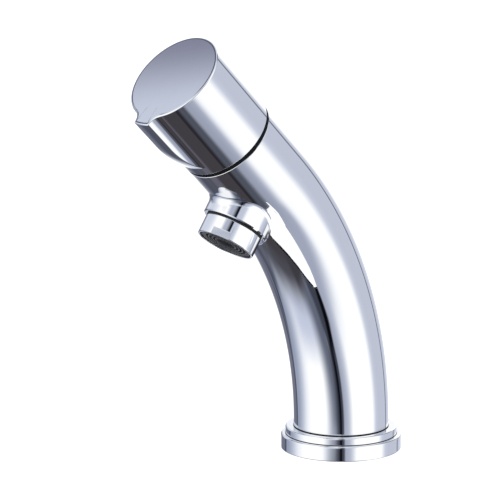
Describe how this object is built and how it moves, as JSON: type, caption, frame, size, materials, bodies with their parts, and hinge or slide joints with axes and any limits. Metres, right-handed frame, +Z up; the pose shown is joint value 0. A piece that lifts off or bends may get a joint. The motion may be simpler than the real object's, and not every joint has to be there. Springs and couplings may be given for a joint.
{
  "type": "basin tap",
  "caption": "Bent tubular basin tap with a turning knob that has a short nib, an aerator outlet on its front and a stepped round base.",
  "frame": {"origin": "centre of the base's underside, on the deck", "axes": "+Z up, -Y towards the side that the outlet and the knob lean to, +X to the right of someone who looks along +Y"},
  "size_m": [0.0544, 0.1428, 0.193],
  "materials": {
    "body_chrome": "polished chromium plating",
    "base_chrome": "polished chromium plating",
    "knob_chrome": "polished chromium plating",
    "aerator_chrome": "polished chromium plating",
    "plain_brass": "machined brass",
    "seal_rubber": "black rubber",
    "black_plastic": "black acetal",
    "grey_plastic": "dark grey moulded plastic",
    "white_plastic": "white moulded plastic",
    "disc_ceramic": "polished white ceramic",
    "stainless": "stainless steel"
  },
  "bodies": {
    "tap_body": {"body_shell": "body_chrome", "base_flange": "base_chrome", "base_ring": "base_chrome", "base_gasket": "seal_rubber", "foot_insert": "plain_brass", "foot_o_ring": "seal_rubber", "inlet_strainer": "white_plastic", "glide_ring": "black_plastic", "headwork_body": "plain_brass", "headwork_gasket": "seal_rubber", "seat_seal": "seal_rubber", "ceramic_disc_fixed": "disc_ceramic", "thrust_washer": "white_plastic", "aerator_housing": "aerator_chrome", "aerator_insert": "grey_plastic", "aerator_diffuser": "grey_plastic", "aerator_screen": "stainless", "aerator_washer": "seal_rubber"},
    "knob": {"ceramic_disc_moving": "disc_ceramic", "spindle": "plain_brass", "spindle_o_rings": "seal_rubber", "stop_ring": "stainless", "spindle_clip": "stainless", "knob_hub": "plain_brass", "knob_grub_screw": "stainless", "knob_shell": "knob_chrome"}
  },
  "joints": [
    {"name": "knob_turn", "type": "hinge", "parent": "tap_body", "child": "knob", "pos_m": [0, -0.06841, 0.14875], "axis": [0, -0.7071, 0.7071], "range_deg": [0, 90]}
  ]
}
